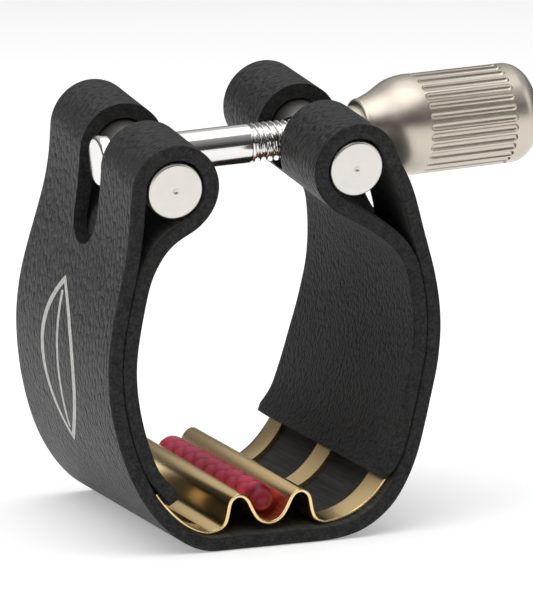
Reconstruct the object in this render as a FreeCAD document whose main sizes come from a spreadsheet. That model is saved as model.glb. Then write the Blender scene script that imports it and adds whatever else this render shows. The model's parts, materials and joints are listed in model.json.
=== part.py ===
"""Leather saxophone ligature with a sprung brass contact plate and a thumb nut.

Frame: +X runs along the cross screw towards the thumb nut, +Y runs along the
mouthpiece towards its shank, +Z is up. The origin is the centre of the underside
of the strap, where the ligature rests. All sizes are millimetres and degrees.
"""
import FreeCAD, Part
import Sketcher
import math
import os

from FreeCAD import Placement, Rotation, Vector

DRIVING_SIZES = [
    # leather strap
    ("leather_thickness", 1.3),
    ("strap_width_base", 29.5),
    ("strap_width_bulge", 26.0),
    ("strap_width_neck", 23.0),
    ("loop_width", 22.3),
    ("cone_angle", 11.2),
    ("neck_height", 27.5),
    ("bulge_left", 14.3),
    ("bulge_right", 17.15),
    ("flat_half_width", 4.5),
    ("flex_height", 5.6),
    ("flex_gap", 0.3),
    ("glue_line", 0.02),
    ("join_gap", 0.3),
    ("join_height_share", 0.74),
    ("slot_width", 5.5),
    ("slot_offset", -0.2),
    ("slot_depth_outside", 7.6),
    ("slot_depth_inside", 2.9),
    # cross pins
    ("pin_diameter", 5.0),
    ("pin_recess", 0.2),
    ("pin_loop_clearance", 0.17),
    ("left_pin_reach", 8.4),
    ("left_pin_height", 33.8),
    ("pin_spacing", 16.85),
    ("screw_tilt", 4.2),
    ("screw_offset", -0.55),
    ("pin_dimple_diameter", 0.5),
    ("pin_edge", 0.15),
    # headed screw
    ("screw_diameter", 3.6),
    ("screw_press_clearance", 0.02),
    ("screw_running_clearance", 0.15),
    ("screw_head_diameter", 4.6),
    ("screw_head_height", 1.1),
    ("screw_plain_length", 10.5),
    ("screw_thread_length", 18.5),
    ("thread_pitch", 0.6),
    ("thread_depth", 0.33),
    # thumb nut
    ("nut_nose_diameter", 4.6),
    ("nut_nose_length", 1.9),
    ("nut_neck_diameter", 5.8),
    ("nut_neck_length", 0.5),
    ("nut_flare_length", 4.5),
    ("nut_diameter", 9.2),
    ("nut_length", 19.1),
    ("nut_bore_clearance", 0.08),
    ("nut_bore_depth", 15.0),
    ("nut_bearing_gap", 0.05),
    ("nut_dome_height", 2.3),
    ("flute_count", 30),
    ("flute_depth", 0.3),
    ("flute_width", 0.42),
    ("flute_length", 9.65),
    ("flute_end_margin", 2.15),
    # contact plate and cord
    ("plate_thickness", 0.35),
    ("plate_depth", 26.5),
    ("plate_seat_gap", 0.03),
    ("rail_spacing", 5.9),
    ("rail_height", 3.35),
    ("rail_centre", 0.75),
    ("web_reach_left", 5.75),
    ("web_reach_right", 5.3),
    ("finger_width", 3.1),
    ("finger_end_gap", 0.5),
    ("window_corner", 0.8),
    ("cord_diameter", 2.7),
    ("cord_length", 24.0),
    ("cord_seat_gap", 0.14),
]

STEP = 0.9                 # spacing of the points that a curved strap face is drawn through
RAIL_STEP = 0.45           # the same for the tighter bends of the plate's rails
CHANNEL_STEPS = 200        # places along the rails where the cord's seat is measured

# Side outlines of the strap as shares of (bulge, pin height), from the flat base upwards.
LEFT_OUTLINE = [(0.643, 0.068), (0.804, 0.163), (0.965, 0.367), (1.0, 0.533),
                (0.951, 0.689), (0.889, 0.822), (0.868, 0.91)]
RIGHT_OUTLINE = [(0.515, 0.018), (0.684, 0.074), (0.807, 0.162), (0.930, 0.352),
                 (1.0, 0.554), (0.959, 0.736), (0.883, 0.855), (0.800, 0.96)]
# Angle on the pin at which the strap's outer face meets its loop, and the turn of the loop.
LEFT_LOOP = (180.0, -225.0)
RIGHT_LOOP = (25.0, 200.0)
# Half of the plate's double rail, as shares of (half the rail spacing, rail height).
RAIL_HALF = [(0.0, 0.14), (0.31, 0.23), (0.56, 0.50), (0.72, 0.80), (0.84, 0.96), (1.0, 1.02),
             (1.16, 0.94), (1.26, 0.70), (1.32, 0.42), (1.48, 0.14), (1.78, 0.02)]

doc = FreeCAD.newDocument("Ligature")


def make_sheet():
    """Write the driving sizes to the spreadsheet, one alias per row."""
    new_sheet = doc.addObject("Spreadsheet::Sheet", "Sizes")
    for row, (alias, value) in enumerate(DRIVING_SIZES, start=1):
        new_sheet.set("A%d" % row, alias)
        new_sheet.set("B%d" % row, str(value))
        new_sheet.setAlias("B%d" % row, alias)
    doc.recompute()
    return new_sheet


sheet = make_sheet()


def size(alias):
    """One driving size, read back from the sheet."""
    return float(sheet.get(alias))


# ---------------------------------------------------------------- derived places

CONE = math.radians(size("cone_angle"))
TILT = math.radians(size("screw_tilt"))
LOOP_OUTER = size("pin_diameter") / 2 + size("pin_loop_clearance") + size("leather_thickness")


def lean_at(height):
    """Rise angle of the strap's cross lines: level at the base, the cone angle at the neck."""
    return CONE * min(max(height / size("neck_height"), 0.0), 1.0)


def centre_y(height):
    """Y of the strap's middle line, which stays square to its cross lines."""
    neck = size("neck_height")
    below = neck / CONE * math.log(math.cos(lean_at(height)))
    return below - max(height - neck, 0.0) * math.tan(CONE)


PIN_AXIS = Vector(0, math.cos(CONE), math.sin(CONE))
HEAD_UP = Vector(0, -math.sin(CONE), math.cos(CONE))
SCREW_AXIS = Vector(math.cos(TILT), 0, 0) + HEAD_UP * math.sin(TILT)
LEFT_PIN = Vector(-size("left_pin_reach"), centre_y(size("left_pin_height")), size("left_pin_height"))
RIGHT_PIN = LEFT_PIN + SCREW_AXIS * size("pin_spacing")
PIN_TURN = Rotation(Vector(1, 0, 0), math.degrees(CONE))
# Turned pieces are drawn about their own Z: along the pins, or along the screw.
PIN_FRAME = Rotation(SCREW_AXIS, Vector(0, 0, 0), PIN_AXIS, "ZXY")
SCREW_FRAME = Rotation(PIN_AXIS, Vector(0, 0, 0), SCREW_AXIS, "ZXY")
SCREW_ORIGIN = LEFT_PIN + PIN_AXIS * size("screw_offset")
NUT_FACE = size("pin_spacing") + size("pin_diameter") / 2 + size("nut_bearing_gap")


def half_width(height):
    """Half of the strap's width at a height on its middle line."""
    pin_height = size("left_pin_height")
    stations = [(0.05 * pin_height, size("strap_width_base")),
                (0.5 * pin_height, size("strap_width_bulge")),
                (0.81 * pin_height, size("strap_width_neck")),
                (0.9 * pin_height, size("loop_width"))]
    if height <= stations[0][0]:
        return stations[0][1] / 2
    for (low, wide_low), (high, wide_high) in zip(stations, stations[1:]):
        if height <= high:
            share = (height - low) / (high - low)
            return (wide_low + (wide_high - wide_low) * share) / 2
    return stations[-1][1] / 2


def on_strap(point, across, half=None):
    """Place a middle-line point (x, z) at across = -1 (front edge) to 1 (rear edge)."""
    x, z = point
    reach = across * (half_width(z) if half is None else half)
    lean = lean_at(z)
    return Vector(x, centre_y(z) + reach * math.cos(lean), z + reach * math.sin(lean))


# ---------------------------------------------------------------- flat outlines in XZ

def spline(points, start, end):
    """A spline through (x, z) points that leaves and arrives along given unit directions."""
    (first_x, first_z), (last_x, last_z) = points[0], points[-1]
    lead = STEP / 2
    leaving = (first_x + lead * start[0], first_z + lead * start[1])
    arriving = (last_x - lead * end[0], last_z - lead * end[1])
    placed = [points[0], leaving] + points[1:-1] + [arriving, points[-1]]
    curve = Part.BSplineCurve()
    curve.interpolate([Vector(x, 0, z) for x, z in placed])
    return curve


def walk(curve, first, last, offset=0.0, side=1, step=STEP):
    """Evenly spaced (x, z) points along a curve, moved sideways by an offset."""
    length = curve.length(first, last)
    count = max(3, int(round(length / step)))
    places = []
    for index in range(count + 1):
        at = curve.parameterAtDistance(length * index / count, first)
        here = curve.value(at)
        along = curve.tangent(at)[0]
        places.append((here.x + offset * side * along.z, here.z - offset * side * along.x))
    return places


def loop_points(pin, start, turn, radius):
    """Points round a pin, from a start angle through a turn, on a circle."""
    count = max(6, int(abs(turn) / 12))
    angles = [math.radians(start + turn * index / count) for index in range(count + 1)]
    return [(pin.x + radius * math.cos(a), pin.z + radius * math.sin(a)) for a in angles]


class Side:
    """One side of the strap: its outer curve, its loop and its turned-back end."""

    def __init__(self, side, outline, bulge, pin, loop):
        self.side = side
        self.pin = pin
        self.start_angle, self.turn = loop
        meet = math.radians(self.start_angle)
        meet_point = (pin.x + LOOP_OUTER * math.cos(meet), pin.z + LOOP_OUTER * math.sin(meet))
        base_end = (-side * size("flat_half_width"), 0.0)
        points = [base_end]
        points += [(-side * fx * size(bulge), fz * pin.z) for fx, fz in outline]
        points.append(meet_point)
        upward = (side * math.sin(meet), -side * math.cos(meet))
        self.outer = spline(points, (-side, 0), upward)
        self.flex = self.parameter_at_height(size("flex_height"))
        self.join = self.parameter_at_height(size("join_height_share") * pin.z)

    def parameter_at_height(self, height):
        """Parameter of the outer curve at a height."""
        low, high = self.outer.FirstParameter, self.outer.LastParameter
        for _ in range(50):
            middle = (low + high) / 2
            if self.outer.value(middle).z < height:
                low = middle
            else:
                high = middle
        return low

    def parameter_at_reach(self, x):
        """Parameter of the outer curve where it passes an X, near the base."""
        low, high = self.outer.FirstParameter, self.flex
        for _ in range(50):
            middle = (low + high) / 2
            if abs(self.outer.value(middle).x) < abs(x):
                low = middle
            else:
                high = middle
        return low

    def moved(self, parameter, distance):
        """Parameter a distance further up the outer curve."""
        return self.outer.parameterAtDistance(distance, parameter)

    def offset_point(self, parameter, offset):
        """The (x, z) point at an offset inside the outer curve."""
        here = self.outer.value(parameter)
        along = self.outer.tangent(parameter)[0]
        return (here.x + offset * self.side * along.z, here.z - offset * self.side * along.x)

    def return_curve(self):
        """Visible face of the leather from the loop's end to where it joins the arm."""
        last = math.radians(self.start_angle + self.turn)
        start = (self.pin.x + LOOP_OUTER * math.cos(last), self.pin.z + LOOP_OUTER * math.sin(last))
        below = (self.pin.x + self.side * 0.1 * LOOP_OUTER, self.pin.z - 1.12 * LOOP_OUTER)
        end = self.offset_point(self.join, 2 * size("leather_thickness") + size("join_gap"))
        along = self.outer.tangent(self.join)[0]
        leave = (self.side * math.sin(last), -self.side * math.cos(last))
        return spline([start, below, end], leave, (-along.x, -along.z))

    def arm_faces(self):
        """Outer and inner point lists of the arm, over the loop and back to the join."""
        thick = size("leather_thickness")
        start = self.moved(self.flex, size("flex_gap") / 2)
        end = self.outer.LastParameter
        back = self.return_curve()
        faces = []
        for offset in (0.0, thick):
            points = walk(self.outer, start, end, offset, self.side)
            points += loop_points(self.pin, self.start_angle, self.turn, LOOP_OUTER - offset)[1:]
            points += walk(back, back.FirstParameter, back.LastParameter, offset, self.side)[1:]
            faces.append(points)
        return faces

    def lining_faces(self):
        """Outer and inner point lists of the turned-back end below the join."""
        thick = size("leather_thickness")
        start = self.moved(self.flex, size("flex_gap") / 2)
        end = self.moved(self.join, -size("join_gap"))
        return [walk(self.outer, start, end, offset, self.side)
                for offset in (thick + size("glue_line"), 2 * thick)]

    def base_points(self, offset):
        """Points from the flat base to just short of the flex line."""
        end = self.moved(self.flex, -size("flex_gap") / 2)
        points = walk(self.outer, self.outer.FirstParameter, end, offset, self.side)
        return [(-self.side * size("flat_half_width"), offset)] + points[1:]


LEFT = Side(1, LEFT_OUTLINE, "bulge_left", LEFT_PIN, LEFT_LOOP)
RIGHT = Side(-1, RIGHT_OUTLINE, "bulge_right", RIGHT_PIN, RIGHT_LOOP)


# ---------------------------------------------------------------- solids from outlines

def curve_through(places):
    """Spline through places, with knots that depend only on how many there are."""
    curve = Part.BSplineCurve()
    steps = [index / (len(places) - 1) for index in range(len(places))]
    curve.interpolate(Points=places, Parameters=steps)
    return curve


def ruled_face(first, second):
    """Face ruled between two splines that share their knots."""
    surface = Part.BSplineSurface()
    surface.buildFromPolesMultsKnots([first.getPoles(), second.getPoles()], [2, 2],
                                     first.getMultiplicities(), [0.0, 1.0], first.getKnots(),
                                     False, False, 1, first.Degree)
    return surface.toShape()


def band(faces, half=None):
    """Closed solid between two point lists, ruled from its front edge to its rear edge."""
    outer_front, outer_rear, inner_front, inner_rear = [
        curve_through([on_strap(point, across, half) for point in points])
        for points in faces for across in (-1, 1)]
    skins = [(outer_front, outer_rear), (inner_rear, inner_front),
             (inner_front, outer_front), (outer_rear, inner_rear)]
    sheets = [ruled_face(first, second) for first, second in skins]
    for index in (0, -1):
        sides = [curve_through([on_strap(points[index], -1, half), on_strap(points[index], 1, half)])
                 for points in faces]
        sheets.append(ruled_face(*sides))
    shell = Part.makeShell(sheets)
    shell.sewShape()
    solid = Part.makeSolid(shell)
    solid.fix(1e-5, 1e-5, 1e-5)
    if solid.Volume < 0:
        solid.reverse()
    return solid


def add_solid(name, shape):
    """Put a ready shape in the document as a named sub-part."""
    feature = doc.addObject("Part::Feature", name)
    feature.Label = name
    feature.Shape = shape
    return feature


def slot_cutters(side):
    """Cutters that part a loop in two for the screw, deep outside and short inside."""
    wide = size("slot_width")
    across = 2 * abs(side.pin.x)
    below = size("slot_depth_inside")
    tall = 2 * size("pin_diameter") + below
    top = Part.makeBox(across, wide, tall, Vector(-across / 2, -wide / 2, -below))
    shift = PIN_AXIS * size("slot_offset")
    top.Placement = Placement(side.pin + shift, PIN_TURN)
    low = side.parameter_at_height(side.pin.z - size("slot_depth_outside"))
    high = side.outer.LastParameter
    inside = size("leather_thickness") + size("join_gap") / 2
    tail = band([walk(side.outer, low, high, offset, side.side)
                 for offset in (-size("leather_thickness"), inside)], wide / 2)
    tail.translate(shift)
    return top, tail


def nut_relief():
    """Round clearance through the loops for the thumb nut's neck."""
    radius = size("nut_neck_diameter") / 2 + 2 * size("pin_loop_clearance")
    start = NUT_FACE + 0.2 * size("pin_diameter")
    relief = Part.makeCylinder(radius, size("nut_length"))
    relief.Placement = Placement(SCREW_ORIGIN + SCREW_AXIS * start, SCREW_FRAME)
    return relief


def strap_base():
    """Base of the strap: a flat middle that it rests on, and the start of each side."""
    half = size("flat_half_width")
    corners = [on_strap((-half, height), across)
               for height, across in ((0.0, -1), (0.0, 1), (size("leather_thickness"), 1),
                                      (size("leather_thickness"), -1))]
    section = Part.Face(Part.makePolygon(corners + corners[:1]))
    middle = section.extrude(Vector(2 * half, 0, 0))
    for side in (LEFT, RIGHT):
        middle = middle.fuse(band([side.base_points(offset)
                                   for offset in (0.0, size("leather_thickness"))]))
    return add_solid("strap_base", middle)


def strap_parts():
    """Base, arms and turned-back ends of the leather strap."""
    parts = [strap_base()]
    for word, side in (("left", LEFT), ("right", RIGHT)):
        arm = band(side.arm_faces())
        for cutter in slot_cutters(side):
            arm = arm.cut(cutter)
        if side is RIGHT:
            arm = arm.cut(nut_relief())
        parts.append(add_solid("strap_arm_" + word, arm))
        parts.append(add_solid("lining_" + word, band(side.lining_faces())))
    return parts


def contact_plate():
    """Spring brass plate: double rail, flat webs and fingers that follow the strap's bends."""
    thick = size("plate_thickness")
    seat = size("leather_thickness") + size("plate_seat_gap")
    faces = []
    for offset in (seat, seat + thick):
        sides = []
        for side in (LEFT, RIGHT):
            start = side.parameter_at_reach(size("rail_centre") - side.side * size("rail_spacing"))
            end = side.moved(side.flex, -size("flex_gap") / 2 - size("finger_end_gap"))
            sides.append(walk(side.outer, start, end, offset, side.side, RAIL_STEP))
        faces.append((sides[0][::-1], sides[1]))
    rail = rail_curve(seat)
    lower = walk(rail, rail.FirstParameter, rail.LastParameter, 0.0, 1, RAIL_STEP)
    upper = walk(rail, rail.FirstParameter, rail.LastParameter, -thick, 1, RAIL_STEP)
    plate = band([faces[0][0] + lower + faces[0][1], faces[1][0] + upper + faces[1][1]],
                 size("plate_depth") / 2)
    return add_solid("contact_plate", cut_windows(plate))


def rail_curve(seat):
    """Underside of the plate's double rail, drawn as one spline."""
    half = size("rail_spacing") / 2
    right = [(fx * half, fz * size("rail_height")) for fx, fz in RAIL_HALF]
    points = [(-x, z) for x, z in right[:0:-1]] + right
    placed = [(size("rail_centre") + x, seat + z) for x, z in points]
    return spline(placed, (1, 0), (1, 0))


def cut_windows(plate):
    """Cut the windows that leave three fingers a side, with round inner corners."""
    pitch = (size("plate_depth") - size("finger_width")) / 2
    wide = pitch - size("finger_width")
    tall = size("flex_height") + size("rail_height")
    long = size("bulge_right")
    for side, reach in ((-1, size("web_reach_left")), (1, size("web_reach_right"))):
        low_x = size("rail_centre") + side * reach
        for row in (-0.5, 0.5):
            corner = Vector(min(low_x, low_x + side * long), row * pitch - wide / 2, 0)
            window = Part.makeBox(long, wide, tall, corner)
            inner = [edge for edge in window.Edges
                     if abs(edge.CenterOfMass.x - low_x) < 1e-6 and abs(edge.tangentAt(0).z) > 0.9]
            plate = plate.cut(window.makeFillet(size("window_corner"), inner))
    return plate


def bind(target, **bindings):
    """Bind properties of an object to expressions on the sheet."""
    for name, expression in bindings.items():
        target.setExpression(name, expression)


def origin_plane(body, role):
    """One of a body's own origin planes."""
    return [plane for plane in body.Origin.OriginFeatures if plane.Role == role][0]


def new_body(name):
    """A PartDesign body whose label is its node name."""
    body = doc.addObject("PartDesign::Body", name)
    body.Label = name
    return body


def new_sketch(body, name, role="XZ_Plane"):
    """A sketch on one of a body's origin planes."""
    sketch = body.newObject("Sketcher::SketchObject", name)
    sketch.AttachmentSupport = (origin_plane(body, role), [""])
    sketch.MapMode = "FlatFace"
    return sketch


def polygon(sketch, corners):
    """Closed outline through corners, each a pair of expressions on the sheet."""
    count = len(corners)
    places = [Vector(1 + index, index * index, 0) for index in range(count)]
    for index in range(count):
        sketch.addGeometry(Part.LineSegment(places[index], places[(index + 1) % count]))
    for index in range(count):
        sketch.addConstraint(Sketcher.Constraint("Coincident", index, 2, (index + 1) % count, 1))
    for index, pair in enumerate(corners):
        values = (places[index].x, places[index].y)
        for word, expression, value in zip(("DistanceX", "DistanceY"), pair, values):
            number = sketch.addConstraint(Sketcher.Constraint(word, -1, 1, index, 1, value))
            sketch.setExpression("Constraints[%d]" % number, expression)


def revolved(name, corners):
    """A body turned about its own Z from (radius, height) corners."""
    body = new_body(name)
    sketch = new_sketch(body, name + "_profile")
    polygon(sketch, corners)
    turn = body.newObject("PartDesign::Revolution", name + "_turn")
    turn.Profile = sketch
    turn.ReferenceAxis = (sketch, ["V_Axis"])
    turn.Angle = 360
    doc.recompute()
    return body


def cross_pin(name, bore_expression, centre):
    """Solid pin with a cross bore for the screw and a centre dimple in each end."""
    radius = "Sizes.pin_diameter / 2"
    half = "(Sizes.loop_width / 2 - Sizes.pin_recess)"
    edge = "Sizes.pin_edge"
    dimple = "Sizes.pin_dimple_diameter / 2"
    corners = [("0", "-%s + %s" % (half, dimple)), (dimple, "-" + half),
               ("%s - %s" % (radius, edge), "-" + half), (radius, "-%s + %s" % (half, edge)),
               (radius, "%s - %s" % (half, edge)), ("%s - %s" % (radius, edge), half),
               (dimple, half), ("0", "%s - %s" % (half, dimple))]
    body = revolved(name, corners)
    sketch = new_sketch(body, name + "_bore_circle", "YZ_Plane")
    circle = sketch.addGeometry(Part.Circle(Vector(0, 0, 0), Vector(0, 0, 1), 1.0))
    across = sketch.addConstraint(Sketcher.Constraint("DistanceX", -1, 1, circle, 3, 0.0))
    along = sketch.addConstraint(Sketcher.Constraint("DistanceY", -1, 1, circle, 3, 0.5))
    wide = sketch.addConstraint(Sketcher.Constraint("Radius", circle, 1.0))
    sketch.setExpression("Constraints[%d]" % across, "0")
    sketch.setExpression("Constraints[%d]" % along, "Sizes.screw_offset")
    sketch.setExpression("Constraints[%d]" % wide, bore_expression)
    solid_volume = body.Shape.Volume
    bore = body.newObject("PartDesign::Pocket", name + "_bore")
    bore.Profile = sketch
    bore.Type = "ThroughAll"
    bore.Midplane = True
    doc.recompute()
    assert body.Shape.Volume < solid_volume - 1.0, name + ": the cross bore cut nothing"
    body.Placement = Placement(centre, PIN_FRAME)
    return body


def headed_screw():
    """Cross screw: round head, plain shank and a threaded end that runs into the nut."""
    radius = "Sizes.screw_diameter / 2"
    head = "Sizes.screw_head_diameter / 2"
    seat = "-Sizes.pin_diameter / 2"
    face = "%s - Sizes.screw_head_height" % seat
    tip = "(Sizes.screw_plain_length + Sizes.screw_thread_length)"
    dome = "Sizes.screw_head_height / 2"
    corners = [("0", face), ("%s - %s" % (head, dome), face), (head, "%s + %s" % (face, dome)),
               (head, seat), (radius, seat), (radius, "%s - Sizes.thread_depth" % tip),
               ("%s - Sizes.thread_depth" % radius, tip), ("0", tip)]
    body = revolved("headed_screw", corners)
    sketch = new_sketch(body, "thread_notch")
    start = "Sizes.screw_plain_length"
    beyond = "%s + Sizes.thread_depth / 2" % radius
    wide = "Sizes.thread_pitch * 0.45"
    polygon(sketch, [("%s - Sizes.thread_depth" % radius, "%s + Sizes.thread_pitch / 2" % start),
                     (beyond, "%s + Sizes.thread_pitch / 2 - %s" % (start, wide)),
                     (beyond, "%s + Sizes.thread_pitch / 2 + %s" % (start, wide))])
    groove = body.newObject("PartDesign::Groove", "thread_groove")
    groove.Profile = sketch
    groove.ReferenceAxis = (sketch, ["V_Axis"])
    groove.Angle = 360
    doc.recompute()
    turns = body.newObject("PartDesign::LinearPattern", "thread_turns")
    turns.Originals = [groove]
    turns.Direction = (sketch, ["V_Axis"])
    bind(turns, Occurrences="floor(Sizes.screw_thread_length / Sizes.thread_pitch) - 1",
         Length="(floor(Sizes.screw_thread_length / Sizes.thread_pitch) - 2) * Sizes.thread_pitch")
    body.Tip = turns
    doc.recompute()
    body.Placement = Placement(SCREW_ORIGIN, SCREW_FRAME)
    return body


def thumb_nut():
    """Fluted thumb nut: nose, neck, flare, grip barrel and domed end, with a blind bore."""
    bore = "(Sizes.screw_diameter / 2 + Sizes.nut_bore_clearance)"
    nose = "Sizes.nut_nose_diameter / 2"
    neck = "Sizes.nut_neck_diameter / 2"
    grip = "Sizes.nut_diameter / 2"
    neck_end = "(Sizes.nut_nose_length + Sizes.nut_neck_length)"
    grip_start = "(%s + Sizes.nut_flare_length)" % neck_end
    dome = "Sizes.nut_dome_height"
    corners = [(bore, "0"), (nose, "0"), (nose, "Sizes.nut_nose_length"),
               (neck, "Sizes.nut_nose_length"), (neck, neck_end),
               ("%s * 0.66 + %s * 0.34" % (neck, grip), "%s * 0.68 + %s * 0.32" % (neck_end, grip_start)),
               ("%s * 0.18 + %s * 0.82" % (neck, grip), "%s * 0.34 + %s * 0.66" % (neck_end, grip_start)),
               (grip, grip_start),
               (grip, "Sizes.nut_length - %s" % dome),
               ("%s * 0.86" % grip, "Sizes.nut_length - %s * 0.42" % dome),
               ("%s * 0.52" % grip, "Sizes.nut_length - %s * 0.08" % dome),
               ("0", "Sizes.nut_length"),
               ("0", "Sizes.nut_bore_depth + %s / 2" % bore), (bore, "Sizes.nut_bore_depth")]
    body = revolved("thumb_nut", corners)
    flutes(body)
    body.Placement = Placement(SCREW_ORIGIN + SCREW_AXIS * NUT_FACE, SCREW_FRAME)
    return body


def flutes(body):
    """Straight flutes along the grip barrel, spaced evenly round it."""
    sketch = new_sketch(body, "flute_circle", "XY_Plane")
    bind(sketch, **{"AttachmentOffset.Base.z":
                    "Sizes.nut_length - Sizes.flute_end_margin - Sizes.flute_length"})
    circle = sketch.addGeometry(Part.Circle(Vector(4, 0, 0), Vector(0, 0, 1), 0.5))
    out = sketch.addConstraint(Sketcher.Constraint("DistanceX", -1, 1, circle, 3, 4.0))
    level = sketch.addConstraint(Sketcher.Constraint("DistanceY", -1, 1, circle, 3, 0.0))
    wide = sketch.addConstraint(Sketcher.Constraint("Radius", circle, 0.5))
    sketch.setExpression("Constraints[%d]" % out,
                         "Sizes.nut_diameter / 2 + Sizes.flute_width - Sizes.flute_depth")
    sketch.setExpression("Constraints[%d]" % level, "0")
    sketch.setExpression("Constraints[%d]" % wide, "Sizes.flute_width")
    plain_volume = body.Shape.Volume
    cut = body.newObject("PartDesign::Pocket", "flute")
    cut.Profile = sketch
    cut.Reversed = True
    bind(cut, Length="Sizes.flute_length")
    doc.recompute()
    assert body.Shape.Volume < plain_volume - 0.1, "the flute cut nothing"
    ring = body.newObject("PartDesign::PolarPattern", "flute_ring")
    ring.Originals = [cut]
    ring.Axis = (sketch, ["N_Axis"])
    ring.Angle = 360
    bind(ring, Occurrences="Sizes.flute_count")
    body.Tip = ring
    doc.recompute()


def cord_height():
    """Height of the cord's middle where it rests in the channel with the seat gap all round."""
    rail = rail_curve(size("leather_thickness") + size("plate_seat_gap"))
    clear = size("cord_diameter") / 2 + size("cord_seat_gap")
    heights = []
    for index in range(CHANNEL_STEPS + 1):
        at = rail.parameterAtDistance(rail.length() * index / CHANNEL_STEPS, rail.FirstParameter)
        along = rail.tangent(at)[0]
        x = rail.value(at).x - size("plate_thickness") * along.z - size("rail_centre")
        z = rail.value(at).z + size("plate_thickness") * along.x
        if abs(x) < min(clear, size("rail_spacing") / 2):
            heights.append(z + math.sqrt(clear * clear - x * x))
    return max(heights)


def contact_cord():
    """Round cord with domed ends, lying in the channel between the plate's rails."""
    barrel = doc.addObject("Part::Cylinder", "cord_barrel")
    bind(barrel, Radius="Sizes.cord_diameter / 2", Height="Sizes.cord_length - Sizes.cord_diameter")
    ends = []
    for name in ("cord_front_end", "cord_rear_end"):
        ball = doc.addObject("Part::Sphere", name)
        bind(ball, Radius="Sizes.cord_diameter / 2")
        ends.append(ball)
    bind(ends[1], **{"Placement.Base.z": "Sizes.cord_length - Sizes.cord_diameter"})
    cord = doc.addObject("Part::MultiFuse", "contact_cord")
    cord.Label = "contact_cord"
    cord.Shapes = [barrel] + ends
    doc.recompute()
    height = cord_height()
    lean = lean_at(height - size("cord_diameter") / 4)
    along = Vector(0, math.cos(lean), math.sin(lean))
    middle = Vector(size("rail_centre"), 0, height)
    start = middle - along * ((size("cord_length") - size("cord_diameter")) / 2)
    cord.Placement = Placement(start, Rotation(Vector(1, 0, 0), math.degrees(lean) - 90))
    return cord


def sub_parts():
    """Every sub-part of the ligature, in the order it would be put together."""
    made = strap_parts()
    made.append(contact_plate())
    made.append(contact_cord())
    made.append(cross_pin("swivel_pin", "Sizes.screw_diameter / 2 + Sizes.screw_press_clearance", LEFT_PIN))
    made.append(cross_pin("thrust_pin", "Sizes.screw_diameter / 2 + Sizes.screw_running_clearance",
                          RIGHT_PIN))
    made.append(headed_screw())
    made.append(thumb_nut())
    return made


def write_parts(made):
    """Check every object and sub-part, then write one file for each sub-part."""
    doc.recompute()
    for item in doc.Objects:
        assert "Invalid" not in item.State and "Error" not in item.State, item.Name + " failed"
    os.makedirs("parts", exist_ok=True)
    for item in made:
        shape = item.Shape
        assert not shape.isNull() and shape.isValid(), item.Label + " isn't a valid shape"
        assert len(shape.Solids) >= 1 and shape.Volume > 0, item.Label + " has no solid"
        shape.exportStep("parts/%s.step" % item.Label)
        box = shape.BoundBox
        print("%-18s %8.1f mm3  x %6.1f %6.1f  y %6.1f %6.1f  z %6.1f %6.1f"
              % (item.Label, shape.Volume, box.XMin, box.XMax, box.YMin, box.YMax, box.ZMin, box.ZMax))


write_parts(sub_parts())
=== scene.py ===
"""Leather saxophone ligature: strap, contact plate, contact cord, cross pins, screw and thumb nut.

Lengths are millimetres until a mesh is written, then metres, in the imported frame:
+X along the cross screw, +Y along the mouthpiece, +Z up from the resting face.
"""

import json
import logging
import math
from dataclasses import dataclass, field
from enum import Enum
from typing import Any, Callable, Sequence

import bmesh
import bpy
import numpy as np
from mathutils import Matrix, Vector, noise


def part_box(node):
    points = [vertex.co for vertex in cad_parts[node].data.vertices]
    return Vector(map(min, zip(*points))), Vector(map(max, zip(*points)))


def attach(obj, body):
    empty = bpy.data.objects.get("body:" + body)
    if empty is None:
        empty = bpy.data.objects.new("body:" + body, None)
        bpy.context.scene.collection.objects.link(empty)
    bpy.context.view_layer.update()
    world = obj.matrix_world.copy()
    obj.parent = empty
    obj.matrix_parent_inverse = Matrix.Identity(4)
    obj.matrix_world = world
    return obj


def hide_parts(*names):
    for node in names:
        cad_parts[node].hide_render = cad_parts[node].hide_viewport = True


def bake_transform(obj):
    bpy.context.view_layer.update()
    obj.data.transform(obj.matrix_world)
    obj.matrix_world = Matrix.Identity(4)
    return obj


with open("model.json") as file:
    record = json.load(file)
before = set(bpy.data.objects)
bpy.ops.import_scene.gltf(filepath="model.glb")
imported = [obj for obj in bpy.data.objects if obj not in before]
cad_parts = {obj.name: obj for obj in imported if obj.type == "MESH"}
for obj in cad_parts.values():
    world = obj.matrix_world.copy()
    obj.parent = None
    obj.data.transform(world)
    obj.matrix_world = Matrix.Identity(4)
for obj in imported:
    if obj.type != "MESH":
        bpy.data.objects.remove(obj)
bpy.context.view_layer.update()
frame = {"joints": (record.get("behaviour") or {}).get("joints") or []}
LOG = logging.getLogger("ligature")
MM = 0.001

Point = tuple[float, float]


# ---------------------------------------------------------------- placing pieces

def joint_place(name: str) -> Vector:
    """Give the place of a joint.

    Args:
        name: the joint's name in the record.

    Returns:
        Its origin in millimetres.
    """
    joint = next(item for item in frame["joints"] if item["name"] == name)
    return Vector(joint["pos_m"]) / MM


class Side(Enum):
    """The two sides of the strap, with the sign of their inward normal."""

    LEFT = 1
    RIGHT = -1


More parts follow.
